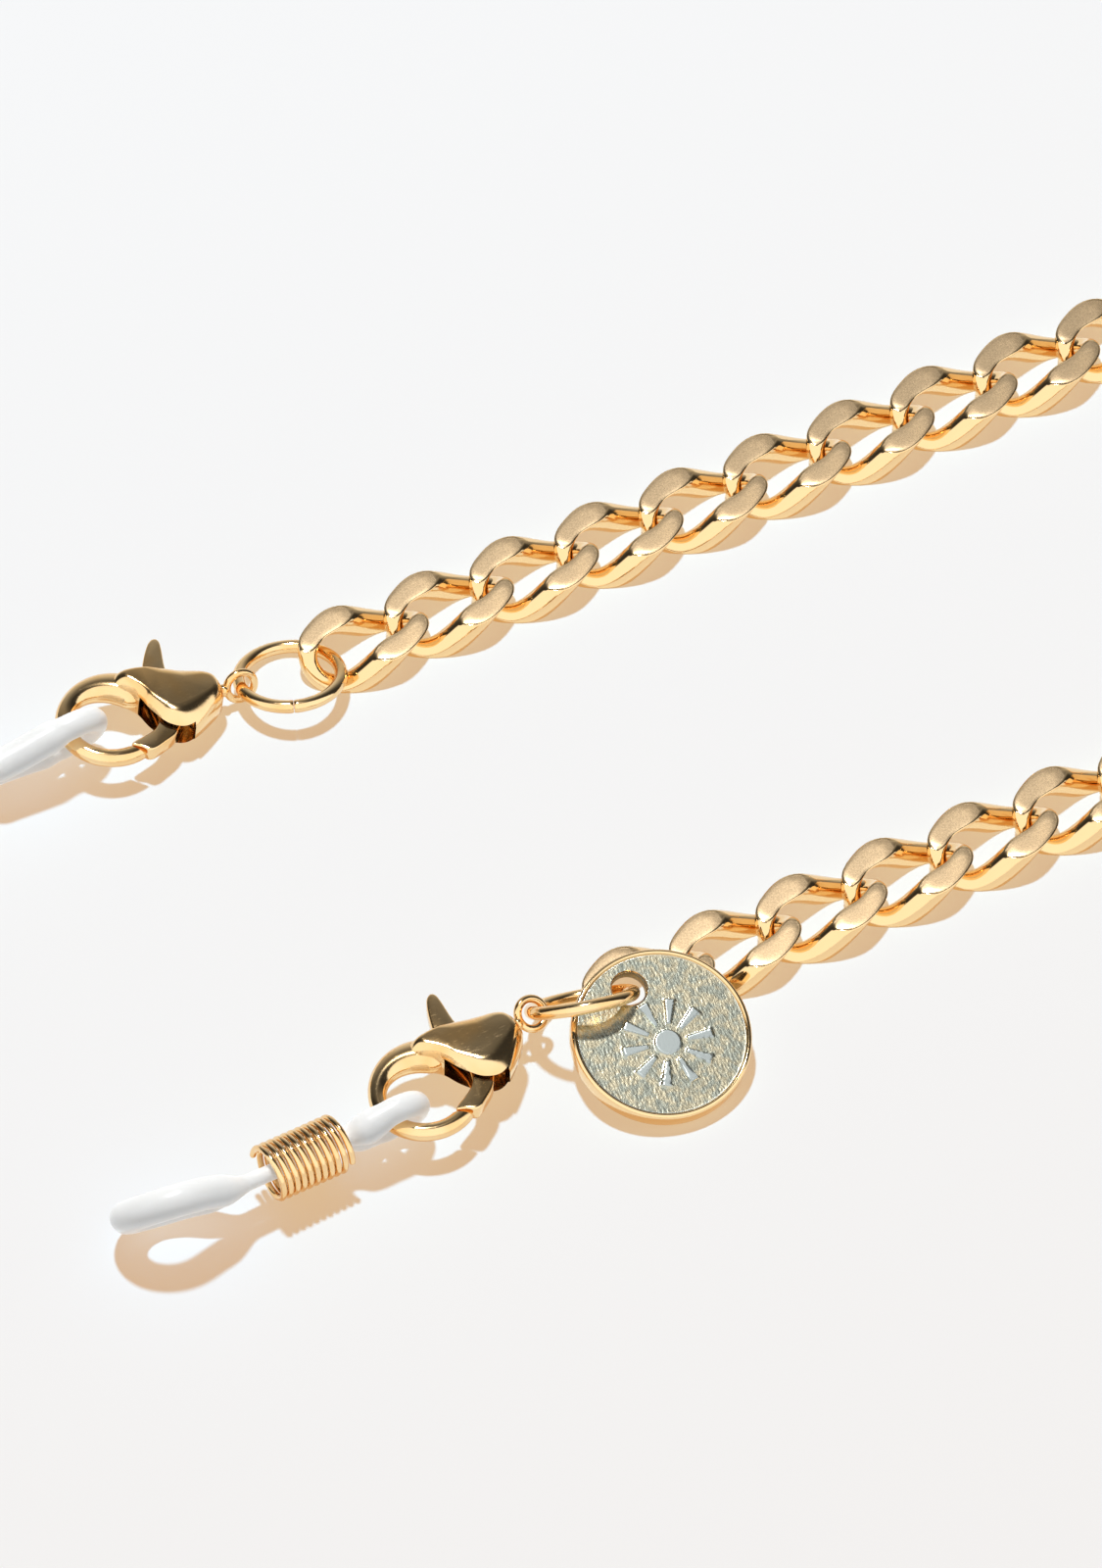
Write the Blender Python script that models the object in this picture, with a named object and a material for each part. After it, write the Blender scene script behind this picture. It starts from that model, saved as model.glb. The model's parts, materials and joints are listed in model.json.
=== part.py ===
"""Eyeglasses chain strap: a flat-cut curb chain with, at each end, a jump ring, a swivel lobster clasp
and a silicone temple loop held by a wound wire grip. One end also carries a round disc charm.

The chain runs along X. The two ends lie side by side, the upper run at +Y and the lower run at -Y, and
the middle of the chain is wound up in a flat coil at +X. Everything rests on the plane Z = 0.
"""

import math

import bmesh
import bpy
from mathutils import Matrix, Vector

MM = 0.001

# Chain
LINK_LENGTH = 9.6 * MM
LINK_WIDTH = 6.4 * MM
LINK_THICKNESS = 2.2 * MM
LINK_END_WIRE = 1.24 * MM  # wire diameter where one link hooks the next
LINK_SIDE_WIRE = 1.7 * MM  # wire diameter along the two sides
LINK_SLACK = 0.52 * MM  # free play between two hooked links
LINK_PITCH = LINK_LENGTH - 2 * LINK_END_WIRE - LINK_SLACK
LINK_TWIST = 0.75  # rise of a side per unit of its distance from the middle
LINK_STEPS = 18
LINK_GAP = 0.3 * MM  # from a run's last link to the stored chain
UPPER_LINKS = 11
LOWER_LINKS = 10
RUN_SPACING = 35.0 * MM
LOWER_START = 3.5 * MM  # the first lower link's centre, measured from the first upper link's

# Stored middle of the chain
STORE_RADIUS = 32.5 * MM
STORE_WIDTH = 6.5 * MM
STORE_LAYER = 2.3 * MM
STORE_LEAD = 3.0 * MM  # straight chain before the lead starts to swing out
STORE_LIFT = 0.05 * MM  # how far the leads lie above the surface that the coil rests on
STORE_STEPS = 12

# Jump rings
RING_RADIUS = 3.5 * MM
RING_WIRE = 0.92 * MM

# Clasp, in its own frame: X from the tail to the hook, Y towards the gate, Z up through its thickness
CLASP_THICKNESS = 3.2 * MM
CLASP_ROUNDING = 0.5 * MM
SLOT_HEIGHT = 1.8 * MM
HOOK_CENTRE = 8.4 * MM
HOOK_RADIUS = 3.13 * MM
HOOK_WIRE = 1.24 * MM
HOOK_ROOT_WIRE = 1.8 * MM
HOOK_ROOT_DEG = -140.0
HOOK_TIP_DEG = 112.0
HOOK_STEPS = 14
GATE_REACH = 4.75 * MM  # from the pivot to the gate's rounded end
GATE_PLAY = 0.3 * MM
GATE_SECTOR_DEG = (15.0, 75.0)  # the part of a turn about the pivot that the gate's end needs
STEM_BORE_LENGTH = 3.0 * MM
LEVER_THICKNESS = 1.2 * MM
PIVOT = Vector((4.0, -0.2, 0.0)) * MM
PIN_RADIUS = 0.42 * MM
PIN_LENGTH = 2.4 * MM
PIN_PLAY = 0.2 * MM
SPRING_WIRE = 0.28 * MM
EYE_RADIUS = 1.02 * MM
EYE_WIRE = 0.56 * MM
EYE_CENTRE = -1.35 * MM
STEM_RADIUS = 0.28 * MM
STEM_PLAY = 0.22 * MM
HEAD_RADIUS = 0.6 * MM
HEAD_CENTRE = 1.55 * MM

# Silicone temple loop, in its own frame: X away from the hook, Y level, Z up
TUBE_RADIUS = 1.1 * MM
BEND_TUBE_RADIUS = 0.9 * MM  # the tube is drawn thinner where it is stretched round the hook
WAIST_TUBE_RADIUS = 0.55 * MM  # and squeezed inside the grip
BEND_RADIUS = 1.85 * MM
BEND_SEAT = 0.2 * MM  # how far the bend's middle lies inside the middle of the hook wire
WAIST_HALF = 0.72 * MM
BEND_LEAN_DEG = 70.0  # lean of the loop from level, at the hook
LOOP_LEAN_DEG = 57.0  # and from the grip on
LOOP_END = 19.3 * MM
LOOP_STEPS = 18

# Wound wire grip
GRIP_WIRE = 0.44 * MM
GRIP_RADIUS = 1.84 * MM
GRIP_TURNS = 10.5
GRIP_PITCH = 0.52 * MM
GRIP_TRAVEL = 1.5 * MM
GRIP_STEPS = 10

# Disc charm
DISC_RADIUS = 6.1 * MM
DISC_THICKNESS = 1.5 * MM
DISC_RIM = 0.6 * MM
DISC_RECESS = 0.2 * MM
DISC_HOLE_RADIUS = 1.15 * MM
DISC_HOLE_EDGE = 2.25 * MM  # from the hole's middle to the rim
DISC_HOLE_DEG = 97.5
DISC_HOLE_RISE = 2.8166 * MM  # how far the hole lies above the disc's lower edge

GOLD = ("polished_gold", (0.86, 0.62, 0.28, 1.0), 0.14, 1.0)
SATIN_GOLD = ("satin_gold", (0.78, 0.66, 0.44, 1.0), 0.38, 1.0)
STEEL = ("spring_steel", (0.55, 0.55, 0.56, 1.0), 0.3, 1.0)
SILICONE = ("clear_silicone", (0.93, 0.94, 0.93, 1.0), 0.35, 0.0)


def clear_scene():
    for obj in list(bpy.data.objects):
        bpy.data.objects.remove(obj, do_unlink=True)


def new_collection(name):
    made = bpy.data.collections.new(name)
    bpy.context.scene.collection.children.link(made)
    return made


def material(spec):
    name, colour, roughness, metallic = spec
    made = bpy.data.materials.get(name)
    if made:
        return made
    made = bpy.data.materials.new(name)
    made.use_nodes = True
    shader = made.node_tree.nodes["Principled BSDF"]
    shader.inputs["Base Color"].default_value = colour
    shader.inputs["Roughness"].default_value = roughness
    shader.inputs["Metallic"].default_value = metallic
    return made


def mesh_of(obj):
    """The evaluated object as a mesh with its caps welded, in the object's own coordinates."""
    bpy.context.view_layer.update()
    evaluated = obj.evaluated_get(bpy.context.evaluated_depsgraph_get())
    mesh = bpy.data.meshes.new_from_object(evaluated)
    built = bmesh.new()
    built.from_mesh(mesh)
    bmesh.ops.remove_doubles(built, verts=built.verts, dist=0.000005)
    bmesh.ops.recalc_face_normals(built, faces=built.faces)
    built.to_mesh(mesh)
    built.free()
    return mesh


def curve_mesh(name, curve):
    """Makes a mesh from curve data, and removes the curve."""
    helper = bpy.data.objects.new(name + "_curve", curve)
    bpy.context.scene.collection.objects.link(helper)
    mesh = mesh_of(helper)
    bpy.data.objects.remove(helper, do_unlink=True)
    bpy.data.curves.remove(curve)
    return mesh


def tube(name, points, radius, thickness=None, closed=False, sides=8):
    """A wire along the points. thickness scales the radius point by point."""
    curve = bpy.data.curves.new(name, "CURVE")
    curve.dimensions = "3D"
    curve.bevel_depth = radius
    curve.bevel_resolution = (sides - 4) // 2
    curve.use_fill_caps = not closed
    spline = curve.splines.new("POLY")
    spline.points.add(len(points) - 1)
    spline.use_cyclic_u = closed
    for index, point in enumerate(points):
        spline.points[index].co = (*point, 1.0)
        spline.points[index].radius = thickness[index] if thickness else 1.0
    return curve_mesh(name, curve)


def plate(name, outlines, thickness, rounding=0.0, smooth=0):
    """A flat plate of the outlines, centred on Z = 0. smooth is the number of steps between the points."""
    curve = bpy.data.curves.new(name, "CURVE")
    curve.dimensions = "2D"
    curve.fill_mode = "BOTH"
    curve.extrude = thickness / 2 - rounding
    curve.bevel_depth = rounding
    curve.bevel_resolution = 1 if rounding else 0
    curve.offset = -rounding
    for outline in outlines:
        spline = curve.splines.new("BEZIER" if smooth else "POLY")
        if smooth:
            spline.bezier_points.add(len(outline) - 1)
            spline.resolution_u = smooth
            for knot, (x, y) in zip(spline.bezier_points, outline):
                knot.co = (x, y, 0.0)
                knot.handle_left_type = knot.handle_right_type = "AUTO"
        else:
            spline.points.add(len(outline) - 1)
            for knot, (x, y) in zip(spline.points, outline):
                knot.co = (x, y, 0.0, 1.0)
        spline.use_cyclic_u = True
    return curve_mesh(name, curve)


def circle(radius, steps, centre=(0.0, 0.0)):
    turns = [2 * math.pi * step / steps for step in range(steps)]
    return [(centre[0] + radius * math.cos(a), centre[1] + radius * math.sin(a)) for a in turns]


def arc(centre, radius, start_deg, end_deg, steps):
    """Points on a level arc, as (x, y)."""
    turn = [math.radians(start_deg + (end_deg - start_deg) * k / steps) for k in range(steps + 1)]
    return [(centre[0] + radius * math.cos(a), centre[1] + radius * math.sin(a)) for a in turn]


def rod(name, radius, length, steps=12):
    return plate(name, [circle(radius, steps)], length)


def ball(name, radius, place):
    built = bmesh.new()
    bmesh.ops.create_uvsphere(built, u_segments=10, v_segments=6, radius=radius)
    bmesh.ops.transform(built, matrix=place, verts=built.verts)
    mesh = bpy.data.meshes.new(name)
    built.to_mesh(mesh)
    built.free()
    return mesh


def moved(mesh, matrix):
    mesh.transform(matrix)
    return mesh


def combine(name, base, steps):
    """Applies Booleans to the base mesh, in order. steps is a list of (operation, mesh)."""
    work = bpy.data.objects.new(name + "_work", base)
    bpy.context.scene.collection.objects.link(work)
    tools = []
    for index, (operation, mesh) in enumerate(steps):
        tool = bpy.data.objects.new(f"{name}_tool_{index}", mesh)
        tool.hide_render = True
        tool.display_type = "WIRE"
        CUTTERS.objects.link(tool)
        tools.append(tool)
        modifier = work.modifiers.new(f"step_{index}", "BOOLEAN")
        modifier.operation = operation
        modifier.solver = "EXACT"
        modifier.object = tool
    mesh = mesh_of(work)
    for obj in [work, *tools]:
        bpy.data.objects.remove(obj, do_unlink=True)
    return mesh


def add_part(name, mesh, spec, place, pivot=Vector((0.0, 0.0, 0.0))):
    """Puts a mesh into the model, with its origin at the pivot. Both are given in the place's frame."""
    own = mesh.copy() if pivot.length > 0 else mesh
    if pivot.length > 0:
        own.transform(Matrix.Translation(-pivot))
    own.name = name
    own.materials.clear()
    own.materials.append(material(spec))
    own.shade_smooth()
    own.set_sharp_from_angle(angle=math.radians(40))
    obj = bpy.data.objects.new(name, own)
    PARTS.objects.link(obj)
    obj.parent = ASSEMBLY
    obj.matrix_world = place @ Matrix.Translation(pivot)
    return obj


# ---- chain ----


def link_mesh():
    """A wire oval, each end twisted the opposite way, filed flat above and below."""
    half_length = (LINK_LENGTH - LINK_END_WIRE) / 2
    half_width = (LINK_WIDTH - LINK_SIDE_WIRE) / 2
    points = []
    thickness = []
    for step in range(LINK_STEPS):
        turn = 2 * math.pi * (step + 0.5) / LINK_STEPS
        x = half_length * math.cos(turn)
        y = half_width * math.sin(turn)
        twist = LINK_TWIST * math.sin(math.pi / 2 * math.cos(turn))
        points.append((x, y, -twist * y))
        swell = LINK_SIDE_WIRE / LINK_END_WIRE - 1
        thickness.append(1 + swell * math.sin(turn) ** 2)
    wire = tube("link_wire", points, LINK_END_WIRE / 2, thickness, closed=True, sides=6)
    x = LINK_LENGTH
    file_box = plate("file_box", [[(-x, -x), (x, -x), (x, x), (-x, x)]], LINK_THICKNESS)
    filed = combine("link", wire, [("INTERSECT", file_box)])
    return moved(filed, Matrix.Translation((0, 0, LINK_THICKNESS / 2)))


def add_run(prefix, count, start_x, run_y):
    """A straight run of links. Each one's origin is where it hinges on the next link towards the store."""
    mesh = link_mesh()
    hinge = Vector((LINK_PITCH / 2, 0.0, LINK_THICKNESS / 2))
    mesh.transform(Matrix.Translation(-hinge))
    for index in range(count):
        place = Matrix.Translation((start_x + index * LINK_PITCH, run_y, 0.0)) @ Matrix.Translation(hinge)
        add_part(f"{prefix}_link_{index + 1:02d}", mesh, GOLD, place)


def lead_line(start_x, run_y, swing, centre_x):
    """The level S-bend of one lead, from the run's end to the side of the coil."""
    angle = math.acos(1 - abs(swing) / (2 * STORE_RADIUS))
    side = 1 if swing > 0 else -1
    bend_x = centre_x - 2 * STORE_RADIUS * math.sin(angle)
    points = [(start_x, run_y), (bend_x, run_y)]
    for step in range(1, STORE_STEPS + 1):
        turn = angle * step / STORE_STEPS
        aside = side * STORE_RADIUS * (1 - math.cos(turn))
        points.append((bend_x + STORE_RADIUS * math.sin(turn), run_y + aside))
    for step in range(1, STORE_STEPS + 1):
        turn = angle * (1 - step / STORE_STEPS)
        aside = swing - side * STORE_RADIUS * (1 - math.cos(turn))
        points.append((centre_x - STORE_RADIUS * math.sin(turn), run_y + aside))
    return points


def strip_outline(points, width):
    """The outline of a level strip of the given width along the points."""
    left = []
    right = []
    for index, point in enumerate(points):
        before = Vector(points[max(index - 1, 0)])
        after = Vector(points[min(index + 1, len(points) - 1)])
        along = (after - before).normalized()
        across = Vector((-along.y, along.x)) * width / 2
        left.append(tuple(Vector(point) + across))
        right.append(tuple(Vector(point) - across))
    return left + right[::-1]


def add_store(upper_end, lower_end):
    """The wound middle of the chain: one closed ring, two layers high, with a lead to each run."""
    swing = STORE_RADIUS - RUN_SPACING / 2
    angle = math.acos(1 - swing / (2 * STORE_RADIUS))
    centre_x = upper_end + STORE_LEAD + 2 * STORE_RADIUS * math.sin(angle)
    centre = (centre_x, -RUN_SPACING / 2)
    outer = circle(STORE_RADIUS + STORE_WIDTH / 2, 4 * STORE_STEPS, centre)
    inner = circle(STORE_RADIUS - STORE_WIDTH / 2, 4 * STORE_STEPS, centre)
    ring = plate("store_ring", [outer, inner], 2 * STORE_LAYER)
    ring = moved(ring, Matrix.Translation((0, 0, STORE_LAYER)))
    lift = Matrix.Translation((0, 0, STORE_LAYER / 2 + STORE_LIFT))
    leads = []
    for start_x, run_y, side in ((upper_end, 0.0, 1), (lower_end, -RUN_SPACING, -1)):
        line = lead_line(start_x, run_y, side * swing, centre_x)
        leads.append(("UNION", moved(plate("lead", [strip_outline(line, STORE_WIDTH)], STORE_LAYER), lift)))
    add_part("stored_chain", combine("store", ring, leads), GOLD, Matrix.Identity(4))


# ---- rings and disc ----


def tilted(centre, tilt_deg, heading_deg):
    """A frame at the centre whose Z axis leans from the vertical by the tilt, towards the heading."""
    lean = Matrix.Rotation(math.radians(tilt_deg), 4, "Y")
    return Matrix.Translation(centre) @ Matrix.Rotation(math.radians(heading_deg), 4, "Z") @ lean


def add_jump_ring(name, place, first_link):
    """A round ring, with its origin where it hangs in the end of the run's first link."""
    points = [(x, y, 0.0) for x, y in circle(RING_RADIUS, 24)]
    ring = tube(name, points, RING_WIRE / 2, closed=True, sides=6)
    hang = first_link + Vector((LINK_END_WIRE - LINK_LENGTH / 2, 0.0, LINK_THICKNESS / 2))
    add_part(name, ring, GOLD, place, place.inverted() @ hang)


def add_disc(place, swing_centre):
    """A round tag with a raised rim on both faces and one hole. It slides round the jump ring."""
    face = rod("disc_recess", DISC_RADIUS - DISC_RIM, DISC_THICKNESS, 32)
    up = Matrix.Translation((0, 0, DISC_THICKNESS - DISC_RECESS))
    down = Matrix.Translation((0, 0, DISC_RECESS - DISC_THICKNESS))
    hole = moved(rod("disc_hole", DISC_HOLE_RADIUS, 2 * DISC_THICKNESS), Matrix.Translation(DISC_HOLE_AT))
    steps = [
        ("DIFFERENCE", moved(face.copy(), up)),
        ("DIFFERENCE", moved(face.copy(), down)),
        ("DIFFERENCE", hole),
    ]
    blank = rod("disc_blank", DISC_RADIUS, DISC_THICKNESS, 32)
    add_part("disc_charm", combine("disc", blank, steps), SATIN_GOLD, place, place.inverted() @ swing_centre)


# ---- clasp ----


def in_mm(pairs):
    return [(x * MM, y * MM) for x, y in pairs]


CASING_OUTLINE = in_mm(
    [
        (0.35, -0.9),
        (2.0, -2.0),
        (4.2, -2.95),
        (6.6, -3.3),
        (7.1, -2.4),
        (6.1, -0.9),
        (5.7, 0.8),
        (5.0, 2.3),
        (3.7, 2.95),
        (1.8, 2.1),
        (0.35, 0.9),
    ]
)
SLOT_OUTLINE = in_mm(
    [
        (0.75, -0.8),
        (1.15, -1.2),
        (0.9, -4.2),
        (4.9, -4.2),
        (5.05, -1.7),
        (6.2, -0.4),
        (7.2, 4.2),
        (1.9, 4.2),
        (1.7, 1.4),
        (0.75, 0.8),
    ]
)
LEVER_OUTLINE = in_mm(
    [
        (2.55, -5.2),
        (3.3, -5.3),
        (4.45, -3.0),
        (4.7, -1.6),
        (5.0, 0.5),
        (5.9, 1.9),
        (7.87, 2.55),
        (7.42, 3.1),
        (6.85, 3.6),
        (5.9, 3.35),
        (4.6, 2.7),
        (3.2, 1.0),
        (2.95, -0.4),
        (3.1, -2.6),
    ]
)
SPRING_LINE = in_mm([(2.42, 0.1), (2.55, 0.8), (2.35, 1.45), (2.15, 1.75)])


def casing_mesh():
    """The cast casing and hook, slotted for the lever, bored for the swivel and the blind pin."""
    shell = plate("casing", [CASING_OUTLINE], CLASP_THICKNESS, CLASP_ROUNDING, smooth=3)
    line = arc((HOOK_CENTRE, 0.0), HOOK_RADIUS, HOOK_ROOT_DEG, HOOK_TIP_DEG, HOOK_STEPS)
    swell = HOOK_ROOT_WIRE / HOOK_WIRE - 1
    thickness = [1 + swell * max(0.0, 1 - 3 * k / HOOK_STEPS) for k in range(HOOK_STEPS + 1)]
    hook = tube("hook", [(x, y, 0.0) for x, y in line], HOOK_WIRE / 2, thickness)
    sector = [tuple(PIVOT.xy), *arc(PIVOT.xy, GATE_REACH + GATE_PLAY, *GATE_SECTOR_DEG, 10)]
    hook = combine("hook", hook, [("DIFFERENCE", plate("sector", [sector], 2 * CLASP_THICKNESS))])
    slot = plate("slot", [SLOT_OUTLINE], SLOT_HEIGHT)
    pin_bore = moved(
        rod("pin_bore", PIN_RADIUS + PIN_PLAY, PIN_LENGTH + 2 * PIN_PLAY), Matrix.Translation(PIVOT)
    )
    along_x = Matrix.Rotation(math.pi / 2, 4, "Y")
    stem_bore = moved(rod("stem_bore", STEM_RADIUS + STEM_PLAY, STEM_BORE_LENGTH), along_x)
    steps = [("UNION", hook), ("DIFFERENCE", slot), ("DIFFERENCE", pin_bore), ("DIFFERENCE", stem_bore)]
    return combine("casing", shell, steps)


def lever_mesh():
    bore = moved(rod("lever_bore", PIN_RADIUS + PIN_PLAY, 2 * LEVER_THICKNESS), Matrix.Translation(PIVOT))
    return combine("lever", plate("lever", [LEVER_OUTLINE], LEVER_THICKNESS), [("DIFFERENCE", bore)])


def eye_mesh(twist_deg):
    """The swivel eye: a ring, a stem through the casing's tail wall, and a head that holds it in."""
    stand = Matrix.Translation((EYE_CENTRE, 0, 0)) @ Matrix.Rotation(math.radians(twist_deg), 4, "X")
    points = [(x, y, 0.0) for x, y in circle(EYE_RADIUS, 18)]
    ring = moved(tube("eye", points, EYE_WIRE / 2, closed=True, sides=6), stand)
    reach = HEAD_CENTRE - (EYE_CENTRE + EYE_RADIUS)
    middle = (HEAD_CENTRE + EYE_CENTRE + EYE_RADIUS) / 2
    along_x = Matrix.Translation((middle, 0, 0)) @ Matrix.Rotation(math.pi / 2, 4, "Y")
    stem = moved(rod("stem", STEM_RADIUS, reach, 8), along_x)
    head = ball("head", HEAD_RADIUS, Matrix.Translation((HEAD_CENTRE, 0, 0)))
    return combine("swivel", ring, [("UNION", stem), ("UNION", head)])


def add_clasp(prefix, place, twist_deg):
    add_part(f"{prefix}_clasp_casing", casing_mesh(), GOLD, place, Vector((EYE_CENTRE, 0, 0)))
    add_part(f"{prefix}_clasp_swivel_eye", eye_mesh(twist_deg), GOLD, place, Vector((EYE_CENTRE, 0, 0)))
    add_part(f"{prefix}_clasp_lever", lever_mesh(), GOLD, place, PIVOT)
    pin = moved(rod("pin", PIN_RADIUS, PIN_LENGTH), Matrix.Translation(PIVOT))
    add_part(f"{prefix}_clasp_pin", pin, STEEL, place)
    line = [(x, y, 0.0) for x, y in SPRING_LINE]
    add_part(f"{prefix}_clasp_spring", tube("spring", line, SPRING_WIRE / 2, sides=6), STEEL, place)


# ---- silicone loop and grip ----


def ease(value):
    value = min(max(value, 0.0), 1.0)
    return value * value * (3 - 2 * value)


def loop_points(grip_start, temple_half, turn_deg):
    """The middle line of the closed silicone loop, with the tube's radius at each point."""
    grip_end = grip_start + GRIP_TURNS * GRIP_PITCH + GRIP_TRAVEL
    temple_centre = LOOP_END - temple_half

    def across(x):
        lean = math.radians(BEND_LEAN_DEG + (LOOP_LEAN_DEG - BEND_LEAN_DEG) * ease(x / grip_start))
        return Vector((0.0, math.cos(lean), math.sin(lean)))

    def middle(x):
        past = max(0.0, x - grip_end)
        turn = math.radians(turn_deg) * ease(past / (4 * MM)) / 2
        return Vector((x, -past * math.tan(turn), 0.0))

    def half_width(x):
        drawn_in = BEND_RADIUS + (WAIST_HALF - BEND_RADIUS) * ease(x / (grip_start - 0.4 * MM))
        return drawn_in + (temple_half - WAIST_HALF) * ease((x - grip_end) / (temple_centre - grip_end))

    def radius(x):
        if x < grip_start:
            swell = min(ease((x - 0.6 * MM) / (1.4 * MM)), ease((grip_start - 0.2 * MM - x) / (1.6 * MM)))
            low = BEND_TUBE_RADIUS if x < grip_start / 2 else WAIST_TUBE_RADIUS
            return low + (TUBE_RADIUS - low) * swell
        return WAIST_TUBE_RADIUS + (TUBE_RADIUS - WAIST_TUBE_RADIUS) * ease((x - grip_end) / (2.5 * MM))

    side = []
    for step in range(LOOP_STEPS + 1):
        x = temple_centre * step / LOOP_STEPS
        side.append((x, half_width(x)))
    bend_turns = [math.pi * k / 8 for k in range(5, 9)]
    bend = [(BEND_RADIUS * math.cos(a), BEND_RADIUS * math.sin(a)) for a in bend_turns]
    end = [
        (temple_centre + temple_half * math.cos(a), temple_half * math.sin(a))
        for a in (math.pi * k / 12 for k in range(5, -1, -1))
    ]
    upper = [(x, y) for x, y in bend[::-1]] + side + end
    whole = upper + [(x, -y) for x, y in upper[-2:0:-1]]
    points = [tuple(middle(x) + across(x) * y) for x, y in whole]
    return points, [radius(x) / TUBE_RADIUS for x, _ in whole]


def grip_mesh():
    """A close-wound helix along X."""
    points = []
    for step in range(int(GRIP_TURNS * GRIP_STEPS) + 1):
        turn = 2 * math.pi * step / GRIP_STEPS
        points.append(
            (GRIP_PITCH * step / GRIP_STEPS, GRIP_RADIUS * math.cos(turn), GRIP_RADIUS * math.sin(turn))
        )
    return tube("grip", points, GRIP_WIRE / 2, sides=4)


def add_temple_loop(prefix, place, swing_centre, grip_start, temple_half, turn_deg):
    points, thickness = loop_points(grip_start, temple_half, turn_deg)
    loop = tube("loop", points, TUBE_RADIUS, thickness, closed=True)
    add_part(f"{prefix}_silicone_loop", loop, SILICONE, place, place.inverted() @ swing_centre)
    at_grip = place @ Matrix.Translation((grip_start, 0, 0))
    add_part(f"{prefix}_grip_coil", grip_mesh(), GOLD, at_grip)


def heading_frame(origin, heading_deg, rise_deg):
    """A frame whose X axis points along the heading and rises by the given angle, with Y level."""
    turn = Matrix.Rotation(math.radians(heading_deg), 4, "Z")
    return Matrix.Translation(origin) @ turn @ Matrix.Rotation(-math.radians(rise_deg), 4, "Y")


def add_end(prefix, neck, heading_deg, rise_deg, twist_deg, loop_heading_deg, loop_rise_deg, loop_sizes):
    """One clasp with its temple loop, placed from the casing's tail."""
    clasp = heading_frame(neck, heading_deg, rise_deg)
    add_clasp(prefix, clasp, twist_deg)
    seat = clasp @ Vector((HOOK_CENTRE + HOOK_RADIUS - BEND_SEAT, 0.0, 0.0))
    swing_centre = clasp @ Vector((HOOK_CENTRE, 0.0, 0.0))
    add_temple_loop(prefix, heading_frame(seat, loop_heading_deg, loop_rise_deg), swing_centre, *loop_sizes)


def centre_on_origin():
    """Moves the whole assembly so that the object without its stored chain stands centred on the origin."""
    bpy.context.view_layer.update()
    corners = []
    for obj in PARTS.objects:
        if obj.type == "MESH" and obj.name != "stored_chain":
            corners += [obj.matrix_world @ vertex.co for vertex in obj.data.vertices]
    low = [min(corner[axis] for corner in corners) for axis in range(3)]
    high = [max(corner[axis] for corner in corners) for axis in range(3)]
    ASSEMBLY.location = (-(low[0] + high[0]) / 2, -(low[1] + high[1]) / 2, -low[2])


clear_scene()
PARTS = new_collection("eyeglasses_chain_strap")
CUTTERS = new_collection("cutters")
CUTTERS.hide_render = True
ASSEMBLY = bpy.data.objects.new("assembly", None)
PARTS.objects.link(ASSEMBLY)

add_run("upper", UPPER_LINKS, 0.0, 0.0)
add_run("lower", LOWER_LINKS, LOWER_START, -RUN_SPACING)
END_GAP = LINK_LENGTH / 2 + LINK_GAP
add_store(
    (UPPER_LINKS - 1) * LINK_PITCH + END_GAP,
    LOWER_START + (LOWER_LINKS - 1) * LINK_PITCH + END_GAP,
)

# Each ring is placed from the free end of its first link, and each clasp from the far side of its ring
UPPER_RING_AT = Vector((-LINK_LENGTH / 2 + 2.35 * MM - RING_RADIUS, -0.53 * MM, 1.44 * MM))
LOWER_END = LOWER_START - LINK_LENGTH / 2
LOWER_RING_AT = Vector((LOWER_END + 3.01 * MM - RING_RADIUS, -RUN_SPACING - 0.51 * MM, 3.03 * MM))
add_end(
    "upper",
    neck=UPPER_RING_AT + Vector((-RING_RADIUS - 1.24 * MM, 0.84 * MM, 0.25 * MM)),
    heading_deg=177.1,
    rise_deg=6.0,
    twist_deg=-69.9,
    loop_heading_deg=183.5,
    loop_rise_deg=1.0,
    loop_sizes=(7.6 * MM, 2.2 * MM, 0.0),
)
add_end(
    "lower",
    neck=LOWER_RING_AT + Vector((-RING_RADIUS - 1.2 * MM, 0.45 * MM, -0.16 * MM)),
    heading_deg=195.5,
    rise_deg=0.0,
    twist_deg=-38.5,
    loop_heading_deg=183.0,
    loop_rise_deg=2.6,
    loop_sizes=(4.1 * MM, 2.75 * MM, 19.0),
)
add_jump_ring("upper_jump_ring", tilted(UPPER_RING_AT, 15.5, 71.0), Vector((0.0, 0.0, 0.0)))
LOWER_RING = tilted(LOWER_RING_AT, 47.2, 76.7)
add_jump_ring("lower_jump_ring", LOWER_RING, Vector((LOWER_START, -RUN_SPACING, 0.0)))

# The disc rests on its lower edge and leans so that its hole goes round the ring's near side
HOLE_ANGLE = math.radians(DISC_HOLE_DEG)
HOLE_REACH = DISC_RADIUS + (DISC_RADIUS - DISC_HOLE_EDGE) * math.sin(HOLE_ANGLE)
LEAN = math.asin(DISC_HOLE_RISE / HOLE_REACH)
DISC_LEAN = Matrix.Rotation(LEAN, 4, "X")
DISC_HOLE_AT = Matrix.Rotation(HOLE_ANGLE, 4, "Z") @ Vector((DISC_RADIUS - DISC_HOLE_EDGE, 0.0, 0.0))
HOLE_FROM_RING = Vector((RING_RADIUS - 0.5325 * MM, -0.97 * MM, 0.0))
DISC_CENTRE = LOWER_RING_AT + HOLE_FROM_RING - DISC_LEAN @ DISC_HOLE_AT
DISC_CENTRE.z = DISC_RADIUS * math.sin(LEAN) + DISC_THICKNESS / 2 * math.cos(LEAN)
add_disc(Matrix.Translation(DISC_CENTRE) @ DISC_LEAN, LOWER_RING.translation)
centre_on_origin()
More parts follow.
